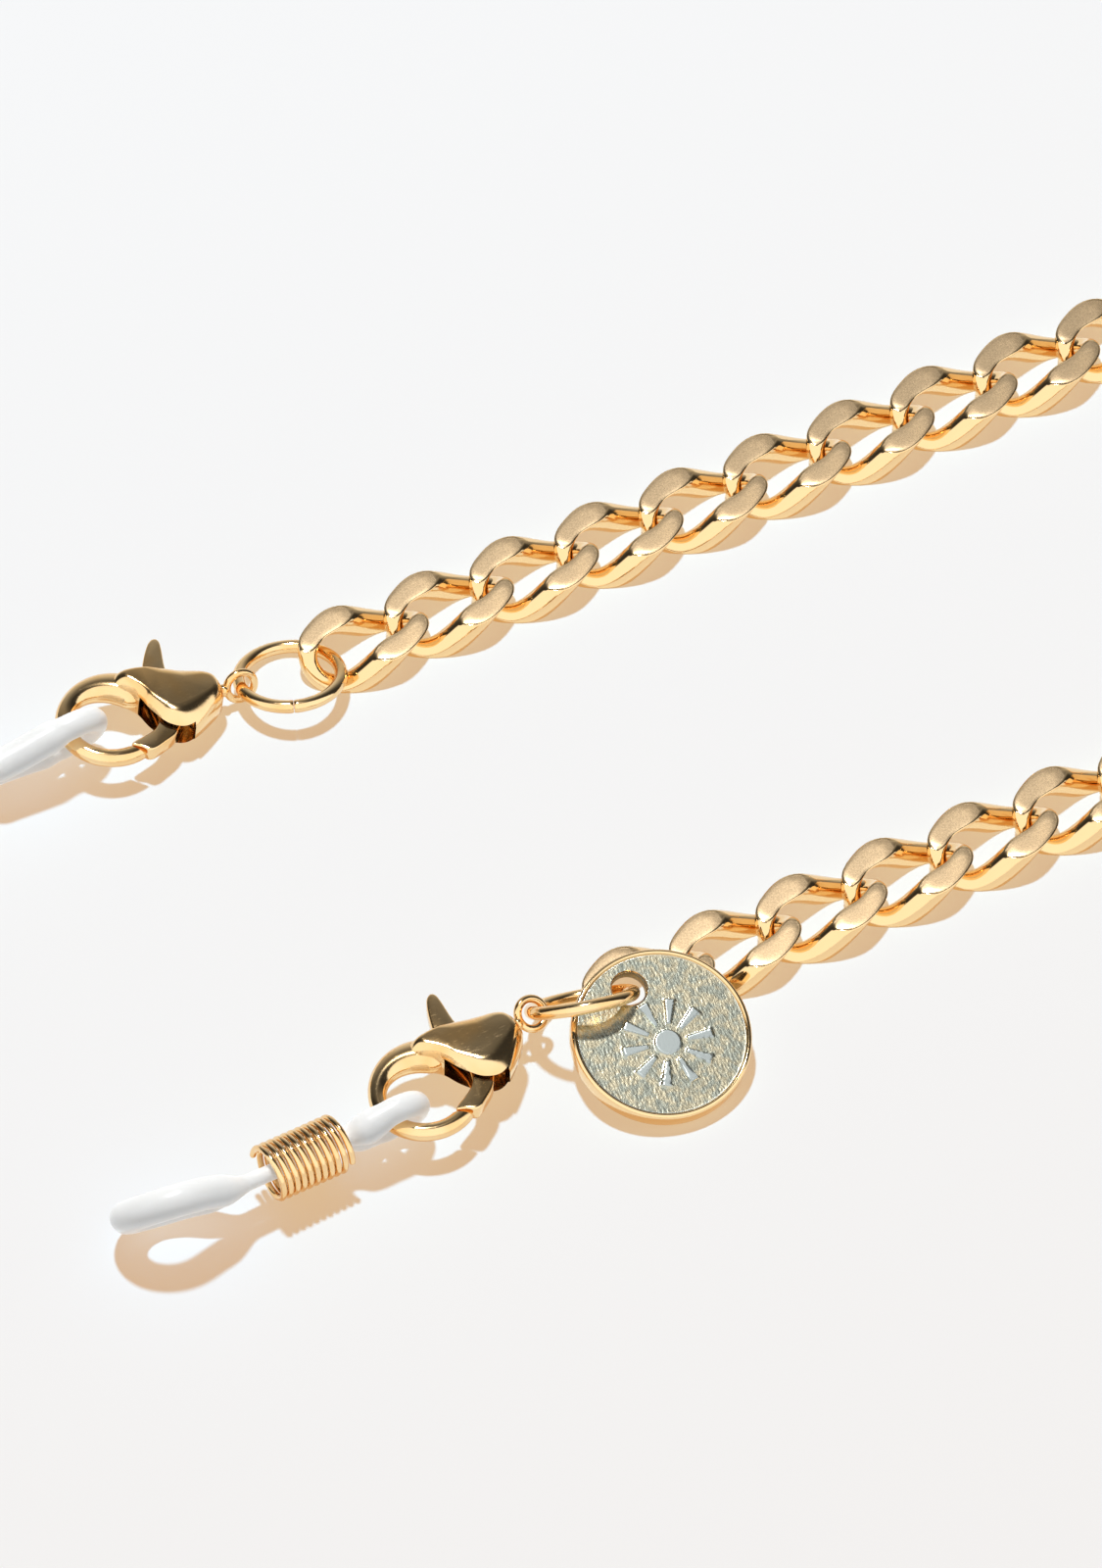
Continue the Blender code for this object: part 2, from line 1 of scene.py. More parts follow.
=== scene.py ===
# %% [markdown]
# # Eyeglasses chain strap
# A strap holds a pair of glasses round the neck. It is a flat-cut curb chain. At each end a jump ring
# carries a lobster clasp, and a silicone loop with a wound wire grip hangs in the clasp.
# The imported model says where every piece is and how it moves. This script gives the pieces their looks.
# It works in metres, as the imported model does, and small sizes are written in millimetres times MM.

# %% Load the frame
import json
import math

import bmesh
import bpy
import numpy as np
from mathutils import Matrix, Vector


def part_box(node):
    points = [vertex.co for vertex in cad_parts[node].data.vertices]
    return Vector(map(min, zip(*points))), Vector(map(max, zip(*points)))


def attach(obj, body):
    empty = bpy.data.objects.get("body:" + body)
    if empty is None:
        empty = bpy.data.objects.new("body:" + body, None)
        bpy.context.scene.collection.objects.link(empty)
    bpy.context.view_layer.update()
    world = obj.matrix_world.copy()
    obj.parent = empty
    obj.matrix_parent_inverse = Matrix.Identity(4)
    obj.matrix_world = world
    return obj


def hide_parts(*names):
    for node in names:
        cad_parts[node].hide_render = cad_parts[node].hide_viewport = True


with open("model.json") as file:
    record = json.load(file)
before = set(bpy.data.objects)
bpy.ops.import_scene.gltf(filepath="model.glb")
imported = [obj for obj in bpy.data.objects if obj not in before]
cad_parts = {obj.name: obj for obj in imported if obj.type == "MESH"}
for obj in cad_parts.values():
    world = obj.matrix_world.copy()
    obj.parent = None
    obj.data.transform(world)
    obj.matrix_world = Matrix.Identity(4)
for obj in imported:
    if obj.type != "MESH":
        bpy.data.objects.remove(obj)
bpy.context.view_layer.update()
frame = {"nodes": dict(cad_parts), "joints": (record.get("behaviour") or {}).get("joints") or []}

MM = 0.001
JOINTS = {joint["name"]: joint for joint in frame["joints"]}
ENDS = ("upper", "lower")

# %% [markdown]
# ## Camera
# Small jewellery is photographed from far away through a long lens, so that the near links don't look
# larger than the far ones. The camera looks down at about 52 degrees, a little from the left.
# A wide lens close by would show the same pieces, but it would bend the straight runs of chain.

# %% Camera
LOW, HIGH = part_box("upper_link_01")
FIRST_LINK = Vector(((LOW.x + HIGH.x) / 2, (LOW.y + HIGH.y) / 2, 0.0))
LOOK_AT = FIRST_LINK + Vector((6.05, -16.1, 0.0)) * MM
HEADING_DEG = 62.3
ELEVATION_DEG = 52.0
CAMERA_DISTANCE = 0.8
FRAME_HEIGHT = 106.7 * MM
SENSOR = 36.0


def towards(heading_deg, elevation_deg):
    """The unit vector with this heading, anticlockwise from +X, and this height above the horizon."""
    heading = math.radians(heading_deg)
    elevation = math.radians(elevation_deg)
    level = math.cos(elevation)
    return Vector((level * math.cos(heading), level * math.sin(heading), math.sin(elevation)))


lens = bpy.data.cameras.new("studio_camera")
lens.sensor_width = SENSOR
lens.lens = SENSOR * CAMERA_DISTANCE / FRAME_HEIGHT
lens.clip_start = 0.01
camera = bpy.data.objects.new("studio_camera", lens)
bpy.context.scene.collection.objects.link(camera)
back = towards(HEADING_DEG + 180, ELEVATION_DEG)
camera.location = LOOK_AT + back * CAMERA_DISTANCE
camera.rotation_euler = back.to_track_quat("Z", "Y").to_euler()
bpy.context.scene.camera = camera
bpy.context.scene.view_settings.view_transform = "Standard"
print("lens", round(lens.lens), "mm")

# %% [markdown]
# ## Shader maths
# A finish is a small sum of patterns: grain plus scratches, times how worn an edge is. Wiring each Math
# node by hand hides that sum. So one class wraps a node's output, and Python's own operators add the nodes.
# Numbers go through Math nodes and vectors through Vector Math nodes. Colours go through Mix,
# because a Math node would turn them grey.


# %% The wire that operators work on
class Wire:
    """A node's output. Sums and products with it add the nodes that work them out."""

    def __init__(self, socket):
        self.socket = socket
        self.tree = socket.id_data

    def node(self, kind, settings, values, output=0):
        """Adds any node: its settings first, then the values or wires of its sockets."""
        made = self.tree.nodes.new("ShaderNode" + kind)
        for name, value in settings.items():
            if name == "stops":
                for index, (position, shade) in enumerate(value):
                    stops = made.color_ramp.elements
                    stop = stops[index] if index < 2 else stops.new(position)
                    stop.position = position
                    stop.color = (shade, shade, shade, 1.0)
            else:
                setattr(made, name, value)
        for name, value in values.items():
            if isinstance(value, Wire):
                self.tree.links.new(value.socket, made.inputs[name])
            else:
                made.inputs[name].default_value = value
        return Wire(made.outputs[output])

    def maths(self, operation, first, second):
        return self.node("Math", {"operation": operation}, {0: first, 1: second})

    def __add__(self, other):
        return self.maths("ADD", self, other)

    __radd__ = __add__

    def __sub__(self, other):
        return self.maths("SUBTRACT", self, other)

    def __rsub__(self, other):
        return self.maths("SUBTRACT", other, self)

    def __mul__(self, other):
        if self.socket.type == "VECTOR":
            return self.node("VectorMath", {"operation": "SCALE"}, {0: self, "Scale": other})
        return self.maths("MULTIPLY", self, other)

    __rmul__ = __mul__

    def between(self, low, high):
        """0 below low, 1 above high, and smooth between them."""
        values = {"Value": self, "From Min": low, "From Max": high}
        return self.node("MapRange", {"interpolation_type": "SMOOTHSTEP"}, values)

    def mix(self, first, second):
        """The first colour where this wire is 0, and the second where it is 1."""
        return self.node("Mix", {"data_type": "RGBA"}, {0: self, 6: first, 7: second}, output=2)

    def noise(self, scale, detail=2.0, stretch=(1.0, 1.0, 1.0)):
        """Soft noise from 0 to 1 on this vector. scale is in waves a millimetre."""
        drawn = self.node("VectorMath", {"operation": "MULTIPLY"}, {0: self, 1: stretch})
        return drawn.node("TexNoise", {}, {"Vector": drawn, "Scale": scale, "Detail": detail})


# %% A new finish
def new_finish(name, **constants):
    """A material, its Principled shader, and a wire with the place on the piece in millimetres."""
    made = bpy.data.materials.new(name)
    made.use_nodes = True
    shader = made.node_tree.nodes["Principled BSDF"]
    for socket, value in constants.items():
        shader.inputs[socket.replace("_", " ")].default_value = value
    coordinates = made.node_tree.nodes.new("ShaderNodeTexCoord")
    return made, shader, Wire(coordinates.outputs["Object"]) * 1000.0


def connect(shader, **wires):
    """Joins wires to the shader's sockets."""
    for socket, wire in wires.items():
        wire.tree.links.new(wire.socket, shader.inputs[socket.replace("_", " ")])


def bump(height, depth_mm, strength=1.0):
    """A normal from a height of 0 to 1 that stands depth_mm high."""
    values = {"Height": height, "Distance": depth_mm * MM, "Strength": strength}
    return height.node("Bump", {}, values)


# %% [markdown]
# ## Polished gold plate
# Clasps, rings and grips are brass, barrel polished and plated. The plate is bright, but never a mirror:
# the tumbling stones leave a very fine orange peel, and handling leaves hairlines.
# Pure metal with one roughness would look like a computer's chrome, so the roughness and the tint drift.

# %% Polished gold
GOLD = (0.95, 0.68, 0.36, 1.0)
DEEP_GOLD = (0.90, 0.56, 0.23, 1.0)


def polished_gold(name, smooth=0.07, worn=0.17):
    made, shader, place = new_finish(name, Metallic=1.0)
    clouds = place.noise(0.35)
    peel = place.noise(5.0, detail=3.0)
    hairlines = place.noise(14.0, stretch=(0.12, 1.0, 1.0)).between(0.60, 0.72)
    connect(
        shader,
        Base_Color=clouds.between(0.35, 0.75).mix(GOLD, DEEP_GOLD),
        Roughness=clouds * (worn - smooth) + hairlines * 0.05 + smooth,
        Normal=bump(peel + hairlines * 0.4, 0.0016),
    )
    return made


POLISHED = polished_gold("polished_gold_plate")
print("made", POLISHED.name)

# %% [markdown]
# ## Filed gold, for the chain
# A curb chain is filed flat on both sides after the links are twisted. The filed faces keep a fine grain,
# and the wire round them keeps its polish. An attribute on the mesh says which face is which,
# so that one finish covers a whole link and the change between the two falls on the filed edge.

# %% Filed gold
FLAT_GOLD = (0.88, 0.66, 0.41, 1.0)


def filed_gold():
    made, shader, place = new_finish("filed_gold_plate", Metallic=1.0)
    filed = place.node("Attribute", {"attribute_name": "filed"}, {}, output=2)
    grain = place.noise(9.0, detail=4.0)
    strokes = place.noise(6.0, detail=3.0, stretch=(0.25, 1.6, 1.0))
    clouds = place.noise(0.3)
    hue = filed.mix(GOLD, FLAT_GOLD)
    connect(
        shader,
        Base_Color=(clouds * 0.35).mix(hue, DEEP_GOLD),
        Roughness=filed * 0.13 + filed * grain * 0.10 + clouds * 0.06 + 0.06,
        Normal=bump(grain * (filed * 0.8 + 0.2) + filed * strokes * 0.7, 0.0011),
    )
    return made


FILED = filed_gold()
print("made", FILED.name)

# %% [markdown]
# ## Satin gold, steel and silicone
# The disc is struck and then bead blasted, so its face is greyer and mottled. The raised sunburst is smooth,
# and the rim is polished again. One attribute tells them apart: 0 on the rim, a half on the sunburst and 1
# on the face.
# The spring and the pin are bare steel, drawn lengthwise. The silicone is milky: light goes in, scatters and
# comes out again, which is what subsurface scattering works out. A faint glow on it is painted light, a fill
# for its unlit sides, because the room lights no diffuse surface. A clear glass shader would show the hook.


# %% Satin gold for the disc
FACE_SAGE = (0.40, 0.42, 0.35, 1.0)
FACE_CHAMPAGNE = (0.60, 0.54, 0.38, 1.0)
RAISED_GREY = (0.40, 0.44, 0.43, 1.0)


def satin_gold():
    made, shader, place = new_finish("satin_gold_plate", Metallic=1.0)
    blasted = place.node("Attribute", {"attribute_name": "filed"}, {}, output=2)
    grain = place.noise(4.5, detail=5.0, stretch=(1.5, 0.6, 1.0))
    mottle = place.noise(1.7, detail=4.0)
    face = mottle.between(0.38, 0.62).mix(FACE_SAGE, FACE_CHAMPAGNE)
    raised_mask = blasted.between(0.1, 0.4)
    raised = raised_mask.mix(GOLD, RAISED_GREY)
    struck = blasted.between(0.6, 0.9)
    connect(
        shader,
        Base_Color=struck.mix(raised, face),
        Roughness=(raised_mask * 0.20 + 0.10) + struck * grain * 0.12 - struck * 0.10,
        Normal=bump(grain * (struck * 0.95 + 0.05), 0.022),
    )
    return made


SATIN = satin_gold()


# %% Spring steel
def spring_steel():
    made, shader, place = new_finish("drawn_spring_steel", Metallic=1.0)
    drawn = place.noise(12.0, stretch=(0.1, 1.0, 1.0))
    connect(
        shader,
        Base_Color=drawn.mix((0.48, 0.48, 0.50, 1.0), (0.62, 0.61, 0.60, 1.0)),
        Roughness=drawn * 0.15 + 0.2,
        Normal=bump(drawn, 0.002),
    )
    return made


STEEL = spring_steel()


# %% Silicone
def milky_silicone_painted_fill():
    made, shader, place = new_finish(
        "milky_silicone_painted_fill",
        Subsurface_Weight=0.85,
        Subsurface_Radius=(1.0, 0.97, 0.92),
        Subsurface_Scale=1.6 * MM,
        IOR=1.41,
        # Painted light: this faint glow stands in for the fill light on the tube's unlit sides.
        Emission_Color=(0.94, 0.97, 1.0, 1.0),
        Emission_Strength=0.25,
    )
    cloud = place.noise(0.5, detail=2.0)
    skin_grain = place.noise(3.5, detail=3.0)
    specks = place.noise(2.2, detail=1.0).between(0.70, 0.76)
    connect(
        shader,
        Base_Color=(cloud * 0.8 + specks * 0.2).mix((0.62, 0.62, 0.61, 1.0), (0.56, 0.56, 0.54, 1.0)),
        Roughness=skin_grain * 0.12 + 0.24,
        Normal=bump(skin_grain + specks * 0.3, 0.004),
    )
    return made


SILICONE = milky_silicone_painted_fill()
print("made", SATIN.name, STEEL.name, SILICONE.name)

# %% [markdown]
# ## Skins over rows of points
# Bent wire, turned parts and tubes are all the same thing to a modeller: rings of points, one after
# another, with a skin over them. A curve with a bevel gives the same tube, but then its ends stay flat and
# its section stays round, and a filed link needs a section that changes along the wire.


# %% Skin
def skin(name, rows, closed, finish, marks=None):
    """A mesh object over rows of points. Each row is a ring; open rows get a cap at each end."""
    count, sides = rows.shape[:2]
    row = np.arange(count if closed else count - 1)[:, None] * sides
    step = np.arange(sides)[None, :]
    after = (step + 1) % sides
    above = (row + sides) % (count * sides)
    faces = np.stack([row + step, row + after, above + after, above + step], -1).reshape(-1, 4).tolist()
    if not closed:
        faces.append(list(range(sides))[::-1])
        faces.append([(count - 1) * sides + k for k in range(sides)])
    mesh = bpy.data.meshes.new(name)
    mesh.from_pydata(rows.reshape(-1, 3).tolist(), [], faces)
    if marks is not None:
        mesh.attributes.new("filed", "FLOAT", "POINT").data.foreach_set("value", np.ravel(marks).astype("f"))
    return shown(name, mesh, finish)


def shown(name, mesh, finish, sharp_deg=None):
    """Turns the faces outwards, shades the mesh smooth and puts it in the scene."""
    built = bmesh.new()
    built.from_mesh(mesh)
    bmesh.ops.recalc_face_normals(built, faces=built.faces)
    built.to_mesh(mesh)
    built.free()
    mesh.materials.clear()
    mesh.materials.append(finish)
    mesh.shade_smooth()
    if sharp_deg:
        mesh.set_sharp_from_angle(angle=math.radians(sharp_deg))
    made = bpy.data.objects.new(name, mesh)
    bpy.context.scene.collection.objects.link(made)
    return made


# %% Rings of points round a line
def unit(vectors):
    return vectors / np.linalg.norm(vectors, axis=-1, keepdims=True)


def wire_rows(line, radius, up, sides, closed, flatten=None, round_ends=5):
    """Rings round a line that never runs along up. flatten scales the radius along up, point by point."""
    line = np.array(line, float)
    radius = np.broadcast_to(np.array(radius, float), len(line)).copy()
    flatten = np.broadcast_to(1.0 if flatten is None else np.array(flatten, float), len(line)).copy()
    ahead = np.roll(line, -1, 0) - np.roll(line, 1, 0) if closed else np.gradient(line, axis=0)
    ahead = unit(ahead)
    if not closed and round_ends:
        turn = np.linspace(0.5 * math.pi, 0, round_ends + 1)[:-1] * 0.96
        head = line[0] - np.outer(np.sin(turn) * radius[0], ahead[0])
        tail = line[-1] + np.outer(np.sin(turn) * radius[-1], ahead[-1])
        line = np.concatenate([head, line, tail[::-1]])
        radius = np.concatenate([np.cos(turn) * radius[0], radius, (np.cos(turn) * radius[-1])[::-1]])
        flatten = np.concatenate([turn * 0 + flatten[0], flatten, turn * 0 + flatten[-1]])
        ends = len(turn)
        ahead = np.concatenate([np.repeat(ahead[:1], ends, 0), ahead, np.repeat(ahead[-1:], ends, 0)])
    side = unit(np.cross(ahead, np.broadcast_to(np.array(up, float), ahead.shape)))
    top = np.cross(side, ahead) * flatten[:, None]
    turn = np.arange(sides) * 2 * math.pi / sides
    ring = np.cos(turn)[None, :, None] * side[:, None] + np.sin(turn)[None, :, None] * top[:, None]
    return line[:, None] + radius[:, None, None] * ring


def ease(value):
    value = np.clip(value, 0.0, 1.0)
    return value * value * (3 - 2 * value)


def level_arc(centre, radius, start_deg, end_deg, steps):
    turn = np.radians(np.linspace(start_deg, end_deg, steps))
    flat = np.stack([centre[0] + radius * np.cos(turn), centre[1] + radius * np.sin(turn)], -1)
    return np.column_stack([flat, np.zeros(steps)])


def settle(piece, body, node, place=None):
    """Puts a finished piece in its place, on its body, instead of its CAD node."""
    if not piece.data.polygons:
        raise ValueError(piece.name + " has no faces, so a Boolean before this has failed")
    if place is not None and piece.data.users == 1:
        piece.data.transform(place)
    elif place is not None:
        piece.matrix_world = place
    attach(piece, body)
    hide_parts(node)
    return piece


# %% [markdown]
# ## One link
# A link is a wire oval. Each end is twisted the opposite way, so that the links lie flat in each other,
# and then the top and bottom are filed off. Here a ring of points goes round the wire at every step.
# A point that would stick out above the filed face slides back towards the wire's middle until it lies on it.
# Cutting with a Boolean would be quicker to write, but its edge would be a jagged knife edge. Here rows of
# points follow the filed edge, so it gets the small roll-over that polishing leaves.

# %% Link sizes
LINK_PITCH = 6.6 * MM
HALF_LENGTH = 4.18 * MM
HALF_WIDTH = 2.2 * MM
END_RADIUS = 0.64 * MM
SIDE_RADIUS = 1.02 * MM
HALF_THICKNESS = 1.1 * MM
TWIST = 0.9
ROLL_OVER = 0.17 * MM
CROWN = 0.09 * MM


def soft_least(first, second, blend):
    """The smaller of two values, rounded off where they meet."""
    near = np.clip(blend - np.abs(first - second), 0, None) / blend
    return np.minimum(first, second) - near * near * blend / 4


# %% Link mesh
def link_section(across, swing, radius, height):
    """Angles round one section that crowd at the filed edges, and the reach of the skin along each."""
    lean = np.clip(height, -HALF_THICKNESS + 0.3 * MM, HALF_THICKNESS - 0.3 * MM) - height
    anchor = lean / swing
    corners = []
    for face in (1, -1):
        plane = (HALF_THICKNESS - face * height) / swing
        chord = math.sqrt(max(radius * radius - plane * plane, 0.0))
        corners.append(max(math.atan2(chord, plane - face * anchor), 0.25))
    edge = 0.14
    top, bottom = corners
    right = np.concatenate(
        [
            np.linspace(0, top - edge, across["flat"], endpoint=False),
            np.linspace(top - edge, top + edge, across["edge"], endpoint=False),
            np.linspace(top + edge, math.pi - bottom - edge, across["side"], endpoint=False),
            np.linspace(math.pi - bottom - edge, math.pi - bottom + edge, across["edge"], endpoint=False),
            np.linspace(math.pi - bottom + edge, math.pi, across["flat"], endpoint=False),
        ]
    )
    turn = np.concatenate([right, right + math.pi])
    turn[len(right):] = 2 * math.pi - np.append(right[1:], math.pi)[::-1]
    upright = np.cos(turn)
    round_reach = -anchor * upright + np.sqrt(radius * radius - (anchor * np.sin(turn)) ** 2)
    to_plane = (HALF_THICKNESS - np.sign(upright) * (height + lean)) / swing
    flat_reach = to_plane / np.maximum(np.abs(upright), 0.05)
    reach = soft_least(round_reach, flat_reach, ROLL_OVER)
    filed = ease((round_reach - flat_reach) / (0.08 * MM))
    crowned = reach - filed * CROWN * np.clip(1 - (round_reach - flat_reach) / (0.5 * MM), 0, 1) ** 2
    return turn, anchor, crowned, filed


def link_rows(steps, across):
    rows = []
    marks = []
    turns = (np.arange(steps) + 0.5) * 2 * math.pi / steps

    def line(turn):
        x, y = HALF_LENGTH * math.cos(turn), HALF_WIDTH * math.sin(turn)
        return Vector((x, y, -TWIST * math.sin(math.pi / 2 * math.cos(turn)) * y))

    for turn in turns:
        middle = line(turn)
        ahead = (line(turn + 0.01) - line(turn - 0.01)).normalized()
        up = (Vector((0, 0, 1)) - ahead * ahead.z).normalized()
        side = ahead.cross(up)
        radius = END_RADIUS + (SIDE_RADIUS - END_RADIUS) * math.sin(turn) ** 2
        angle, anchor, reach, filed = link_section(across, up.z, radius, middle.z)
        start = np.array(middle + up * anchor)
        rows.append(start + np.outer(reach * np.cos(angle), up) + np.outer(reach * np.sin(angle), side))
        marks.append(filed)
    rows = np.array(rows)
    rows[..., 2] += HALF_THICKNESS
    return rows, np.array(marks)


FINE = {"flat": 4, "edge": 5, "side": 8}
COARSE = {"flat": 2, "edge": 2, "side": 3}
LINK_ROWS, LINK_MARKS = link_rows(120, FINE)
print("a link has", LINK_MARKS.size, "points")

# %% [markdown]
# ## The two runs of chain
# Every link in a run has the same shape, so they share one mesh, and each is its own object because each
# turns on its neighbour. A link sits with its middle at the middle of its CAD box.


# %% Runs
def box_middle(node):
    low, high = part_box(node)
    return (low + high) / 2


link = skin("link_pattern", LINK_ROWS, True, FILED, LINK_MARKS)
links = sorted(name for name in frame["nodes"] if "_link_" in name)
for node in links:
    centre = box_middle(node)
    piece = bpy.data.objects.new(node + "_filed", link.data)
    bpy.context.scene.collection.objects.link(piece)
    settle(piece, node, node, Matrix.Translation((centre.x, centre.y, 0)))
bpy.data.objects.remove(link)
print(len(links), "links in the two runs")

# %% [markdown]
# ## The stored middle of the chain
# The strap is about 62 cm long, and most of that is chain between the two runs. It is wound up beside them:
# out along an S-bend, one and a half turns round, and back. The links are stiff, so each lies along
# the chord of the line, level on the layer that it rests on. A modifier could bend one straight chain along
# a curve, but it would bend the links too.

# %% Line of the stored chain
STORE_RADIUS = 32.5 * MM
LAYER = 2.35 * MM
RUN_SPACING = 35.0 * MM
LOWER_START = 3.5 * MM
UPPER_COUNT = sum(name.startswith("upper") for name in links)
LOWER_COUNT = len(links) - UPPER_COUNT
STRAIGHT = 3.0 * MM + 5.1 * MM
SWING = STORE_RADIUS - RUN_SPACING / 2
BEND = math.acos(1 - SWING / (2 * STORE_RADIUS))
UPPER_BEND_X = (UPPER_COUNT - 1) * LINK_PITCH + STRAIGHT
STORE_CENTRE = (UPPER_BEND_X + 2 * STORE_RADIUS * math.sin(BEND), -RUN_SPACING / 2)


def on_store(deg):
    """The point on the coil's circle at this angle, in degrees from +X."""
    turn = math.radians(deg)
    return (STORE_CENTRE[0] + STORE_RADIUS * math.cos(turn), STORE_CENTRE[1] + STORE_RADIUS * math.sin(turn))


def lead(side):
    """The first arc of a lead, from the run to the coil's circle. side is 1 for the upper run."""
    run_y = 0.0 if side > 0 else -RUN_SPACING
    turns = [BEND * k / 12 for k in range(13)]
    return [
        (UPPER_BEND_X + STORE_RADIUS * math.sin(a), run_y + side * STORE_RADIUS * (1 - math.cos(a)))
        for a in turns
    ]


BEND_DEG = math.degrees(BEND)
flat_line = [(UPPER_COUNT * LINK_PITCH - LINK_PITCH / 2, 0.0)] + lead(1)
flat_line += [on_store(90 + BEND_DEG - (540 + 2 * BEND_DEG) * k / 150) for k in range(1, 151)]
flat_line += lead(-1)[::-1][1:]
flat_line += [(LOWER_START + (LOWER_COUNT - 0.5) * LINK_PITCH, -RUN_SPACING)]
flat_line = np.array(flat_line)


# %% Heights and even steps along the line
def evenly(points, spacing):
    """Points along a line, as near this spacing as fits a whole number of steps."""
    points = np.array(points)
    gone = np.concatenate([[0], np.cumsum(np.linalg.norm(np.diff(points, axis=0), axis=1))])
    steps = round(gone[-1] / spacing)
    at = np.linspace(0, gone[-1], steps + 1)
    return np.column_stack([np.interp(at, gone, points[:, k]) for k in range(points.shape[1])]), gone[-1]


flat_line, flat_length = evenly(flat_line, 1.0 * MM)
gone = np.linspace(0, flat_length, len(flat_line))
to_circle = STORE_RADIUS * BEND + UPPER_BEND_X - flat_line[0, 0]
swept = np.degrees((gone - to_circle) / STORE_RADIUS) - BEND_DEG
RISE_FROM, RISE_TO = 225.0, 290.0
FALL_FROM, FALL_TO = 606.0, 636.0
risen = ease((swept - RISE_FROM) / (RISE_TO - RISE_FROM))
fallen = ease((swept - FALL_FROM) / (FALL_TO - FALL_FROM))
height = LAYER * (risen - fallen)
store_line = np.column_stack([flat_line, height + HALF_THICKNESS]) + np.array(FIRST_LINK)
hinges, store_length = evenly(store_line, LINK_PITCH)
print("stored chain", round(store_length / MM), "mm,", len(hinges) - 1, "links")

# %% Stored links
coarse_rows, coarse_marks = link_rows(56, COARSE)
coarse_rows = coarse_rows - np.array((0, 0, HALF_THICKNESS))
count, sides = coarse_marks.shape
chain_rows = []
for start, end in zip(hinges[:-1], hinges[1:]):
    along = unit(end - start)
    across = unit(np.cross((0, 0, 1), along))
    turned = np.stack([along, across, np.cross(along, across)])
    chain_rows.append(coarse_rows @ turned + (start + end) / 2)

row = np.arange(count)[:, None] * sides
step = np.arange(sides)[None, :]
above = (row + sides) % (count * sides)
after = (step + 1) % sides
faces = np.stack([row + step, row + after, above + after, above + step], -1).reshape(-1, 4)
all_faces = np.concatenate([faces + k * count * sides for k in range(len(chain_rows))])
stored_mesh = bpy.data.meshes.new("stored_links")
stored_mesh.from_pydata(np.concatenate(chain_rows).reshape(-1, 3).tolist(), [], all_faces.tolist())
marks = np.tile(coarse_marks.ravel(), len(chain_rows)).astype("f")
stored_mesh.attributes.new("filed", "FLOAT", "POINT").data.foreach_set("value", marks)
stored = shown("stored_chain_links", stored_mesh, FILED)
settle(stored, "stored_chain", "stored_chain")

# %% [markdown]
# ## Places of the round and turning pieces
# The joints say where a clasp is: its swivel runs along it, and its lever's hinge stands across it.
# A ring and the disc have no such joint. Their places are read from the CAD mesh: the direction in which a
# flat round piece is thinnest is its axis.


# %% Places
def stand(origin, x, z):
    """A place with these X and Z directions."""
    z = Vector(z).normalized()
    x = (Vector(x) - z * Vector(x).dot(z)).normalized()
    place = Matrix((x, z.cross(x), z)).transposed().to_4x4()
    place.translation = origin
    return place


def round_place(node):
    """The place of a flat round CAD piece. X points from its middle to its heavier side of points."""
    points = np.array([vertex.co for vertex in frame["nodes"][node].data.vertices], float)
    mean = points.mean(0)
    ways = np.linalg.svd(points - mean, full_matrices=False)[2]
    reach = (points - mean) @ ways.T
    centre = mean + ((reach.max(0) + reach.min(0)) / 2) @ ways
    axis = ways[2] * np.sign(ways[2][2])
    heavy = mean - centre
    x = heavy if np.linalg.norm(heavy) > 0.02 * MM else ways[0]
    return stand(Vector(centre), Vector(x), Vector(axis))


EYE_BACK = 1.35 * MM


def clasp_place(end):
    swivel = JOINTS[end + "_clasp_swivel"]
    lever = JOINTS[end + "_lever_open"]
    along = Vector(swivel["axis"]).normalized()
    return stand(Vector(swivel["pos_m"]) + along * EYE_BACK, along, -Vector(lever["axis"]))


def loop_place(end, clasp):
    along = Vector(JOINTS[end + "_grip_slide"]["axis"]).normalized()
    level = Vector((0, 0, 1)).cross(along).normalized()
    seat = clasp @ (Vector((8.4 + 3.13 - 0.2, 0.0, 0.0)) * MM)
    return stand(seat, along, along.cross(level))


CLASPS = {end: clasp_place(end) for end in ENDS}
LOOPS = {end: loop_place(end, CLASPS[end]) for end in ENDS}
print({end: tuple(round(c / MM, 1) for c in CLASPS[end].translation) for end in ENDS})

# %% [markdown]
# ## Jump rings
# A jump ring is a turn of round wire, opened with pliers and closed again. Its two cut ends butt together,
# and the joint stays visible as a hairline. So the ring is a wire with two ends and not a torus.

# %% Jump rings
RING_RADIUS = 3.5 * MM
RING_WIRE = 0.92 * MM
BUTT_DEG = 0.35
for end in ENDS:
    line = level_arc((0, 0), RING_RADIUS, BUTT_DEG, 360 - BUTT_DEG, 145)
    radius = np.full(145, RING_WIRE / 2)
    radius[[0, -1]] *= 0.93
    rows = wire_rows(line, radius, (0, 0, 1), 28, False, round_ends=0)
    ring = skin(end + "_jump_ring_wire", rows, False, POLISHED)
    node = end + "_jump_ring"
    settle(ring, end + "_ring", node, round_place(node))
print("jump rings", RING_WIRE / MM, "mm wire")

# %% [markdown]
# ## Clasp casing
# A lobster clasp's casing and hook are cast in one piece. The casing is a domed drop with a soft ridge,
# the hook grows out of its back and thins to a round wire, and a slot through the side takes the lever.
# The drop is made of the same outline, drawn in towards a spine level by level while it rises.
# The hook is a skin over a thinning wire, and Booleans join the two and cut the slot, the pin's bore and
# the swivel's bore, as a foundry's tools would.

# %% Casing sizes
PIVOT = Vector((4.0, -0.2, 0.0)) * MM
HOOK_CENTRE = (8.4 * MM, 0.0)
HOOK_RADIUS = 3.13 * MM
HOOK_WIRE = 1.24 * MM
CLASP_HALF = 1.6 * MM
SLOT_HEIGHT = 1.8 * MM
GATE_REACH = 5.05 * MM


def outline_mm(*points):
    return np.array(points) * MM


